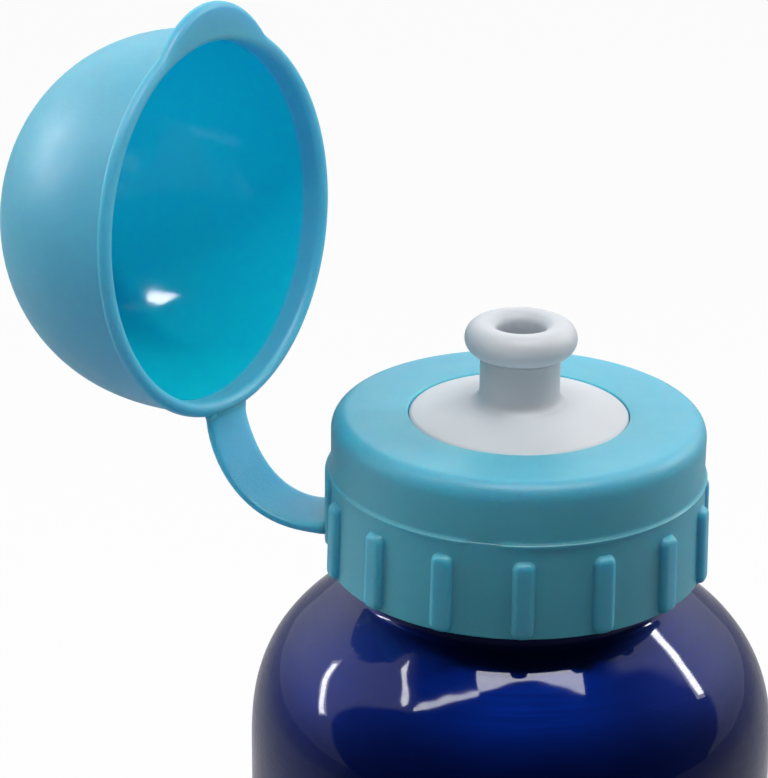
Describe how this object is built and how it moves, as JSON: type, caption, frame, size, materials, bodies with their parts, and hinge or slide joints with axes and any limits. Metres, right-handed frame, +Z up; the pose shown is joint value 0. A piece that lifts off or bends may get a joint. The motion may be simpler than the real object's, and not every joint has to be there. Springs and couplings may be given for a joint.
{
  "type": "drinking bottle",
  "caption": "Small round-shouldered metal drinking bottle with a ribbed screw cap, a push-pull spout and a tethered dome dust cover.",
  "frame": {"origin": "centre of the standing ring, on the surface the bottle stands on", "axes": "+Z up along the bottle's axis; the strap leaves the cap towards -X"},
  "size_m": [0.0978, 0.066, 0.1975],
  "materials": {
    "lacquered_metal": "gloss lacquer over turned aluminium",
    "seal_rubber": "matte silicone",
    "turquoise_plastic": "satin moulded",
    "white_plastic": "matte moulded"
  },
  "bodies": {
    "bottle": {"bottle_shell": "lacquered_metal"},
    "gasket": {"cap_gasket": "seal_rubber"},
    "closure": {"screw_cap": "turquoise_plastic", "spout_base": "white_plastic", "dome_strap": "turquoise_plastic"},
    "spout": {"push_spout": "white_plastic"},
    "dome": {"dome_cover": "turquoise_plastic"}
  },
  "joints": [
    {"name": "cap_lift", "type": "slide", "parent": "bottle", "child": "gasket", "axis": [0, 0, 1], "range_m": [0, 0.018]},
    {"name": "cap_turn", "type": "hinge", "parent": "gasket", "child": "closure", "pos_m": [0, 0, 0.15], "axis": [0, 0, 1], "range_deg": [0, 1440]},
    {"name": "spout_pull", "type": "slide", "parent": "closure", "child": "spout", "axis": [0, 0, 1], "range_m": [0, 0.005]},
    {"name": "dome_hinge", "type": "hinge", "parent": "closure", "child": "dome", "pos_m": [-0.02935, 0, 0.14187], "axis": [0.2479, 0.9549, 0.1633], "range_deg": [-15, 95.96], "stiffness_Nm_per_rad": 0.05, "deforming": ["dome_strap"]}
  ],
  "couplings": [
    {"joint": "cap_lift", "follows": "cap_turn", "m_per_rad": 0.0007162}
  ]
}
